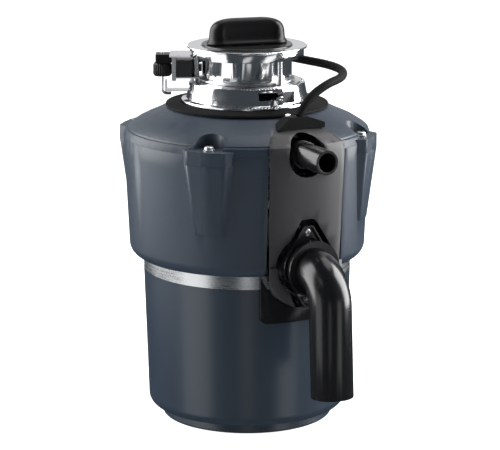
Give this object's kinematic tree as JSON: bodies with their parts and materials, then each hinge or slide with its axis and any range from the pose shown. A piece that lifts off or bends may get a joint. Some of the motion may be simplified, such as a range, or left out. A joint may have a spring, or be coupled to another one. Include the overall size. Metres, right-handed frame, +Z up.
{
  "type": "kitchen garbage disposal",
  "caption": "Under-sink batch-feed food waste disposal: two-tier grey housing with bolt ears, chrome sink mount, black grip cover, side dishwasher inlet and bent black discharge pipe.",
  "frame": {"origin": "centre of the wrench hole in the plane of the underside, on the motor axis", "axes": "+Z up along the motor axis; -Y is the side of the discharge elbow and the dishwasher inlet; +X to the right seen from that side"},
  "size_m": [0.227, 0.2901, 0.3711],
  "materials": {
    "aluminium": "cast",
    "black_matte": "matte",
    "black_plastic": "semi-gloss",
    "chrome": "polished",
    "copper": "enamelled wire",
    "dark_steel": "phosphated",
    "foam": "felt",
    "grey_light": "matte",
    "grey_plastic": "fine grain",
    "grey_shell": "satin enamel",
    "red_plastic": "gloss",
    "rubber": "matte",
    "steel": "brushed",
    "warm_panel": "fine grain"
  },
  "bodies": {
    "housing": {"base_cap": "grey_shell", "lower_can": "grey_shell", "trim_band": "steel", "jacket": "grey_plastic", "dome_cover": "grey_plastic", "housing_bolts": "chrome", "trim_panel": "warm_panel", "apron": "black_plastic", "sink_flange": "chrome", "flange_gasket": "rubber", "backup_flange": "chrome", "mounting_ring": "chrome", "mount_screws": "steel", "snap_ring": "steel", "cushion_mount": "rubber", "throat_gasket": "rubber", "cover_switch": "black_plastic", "switch_bracket": "steel", "guide_block": "black_matte", "hook_bolt": "steel", "switch_cable": "rubber", "cable_boot": "rubber", "boot_screw": "steel", "grind_chamber": "steel", "shredder_ring": "steel", "dishwasher_inlet": "black_plastic", "inlet_plug": "black_plastic", "upper_end_bell": "aluminium", "shaft_seal": "rubber", "stator_core": "dark_steel", "stator_windings": "copper", "motor_frame": "dark_steel", "lower_end_bell": "aluminium", "bearings": "steel", "through_bolts": "steel", "base_screws": "steel", "capacitor": "black_plastic", "start_relay": "grey_light", "overload_protector": "black_plastic", "reset_spring": "steel", "sound_insulation": "foam", "drain_gasket": "rubber", "drain_flange": "black_plastic", "drain_bolts": "steel"},
    "rotor": {"rotor_shaft": "steel", "rotor_core": "dark_steel", "turntable": "steel", "impeller_pins": "steel", "hub_nut": "steel"},
    "impeller_a": {"impeller_1": "steel"},
    "impeller_b": {"impeller_2": "steel"},
    "cover_carrier": {"cover_seal": "rubber"},
    "cover": {"cover_plug": "black_plastic", "cover_magnets": "steel", "cover_grip": "black_plastic"},
    "lock": {"lock_ring": "chrome"},
    "clamp_nut": {"thumb_nut": "black_matte"},
    "reset": {"reset_button": "red_plastic"},
    "elbow": {"discharge_elbow": "black_plastic", "elbow_collar": "black_plastic"}
  },
  "joints": [
    {"name": "rotor_spin", "type": "hinge", "parent": "housing", "child": "rotor", "pos_m": [0, 0, 0.2], "axis": [0, 0, 1], "continuous": true},
    {"name": "impeller_1_swing", "type": "hinge", "parent": "rotor", "child": "impeller_a", "pos_m": [0.037, 0, 0.21], "axis": [0, 0, 1], "continuous": true},
    {"name": "impeller_2_swing", "type": "hinge", "parent": "rotor", "child": "impeller_b", "pos_m": [-0.037, 0, 0.21], "axis": [0, 0, 1], "continuous": true},
    {"name": "cover_lift", "type": "slide", "parent": "housing", "child": "cover_carrier", "axis": [0, 0, 1], "range_m": [0, 0.06]},
    {"name": "cover_turn", "type": "hinge", "parent": "cover_carrier", "child": "cover", "pos_m": [0, 0, 0.34], "axis": [0, 0, 1], "range_deg": [-45, 45]},
    {"name": "lock_ring_turn", "type": "hinge", "parent": "housing", "child": "lock", "pos_m": [0, 0, 0.3], "axis": [0, 0, 1], "range_deg": [0, 33]},
    {"name": "thumb_nut_turn", "type": "hinge", "parent": "housing", "child": "clamp_nut", "pos_m": [-0.06793, 0.03688, 0.324], "axis": [0, 0, 1], "continuous": true},
    {"name": "reset_press", "type": "slide", "parent": "housing", "child": "reset", "axis": [0, 0, 1], "range_m": [0, 0.0025], "stiffness_N_per_m": 400, "springref_m": -0.001, "deforming": ["reset_spring"]},
    {"name": "elbow_swing", "type": "hinge", "parent": "housing", "child": "elbow", "pos_m": [0, -0.106, 0.163], "axis": [0, -1, 0], "range_deg": [-90, 90]}
  ]
}
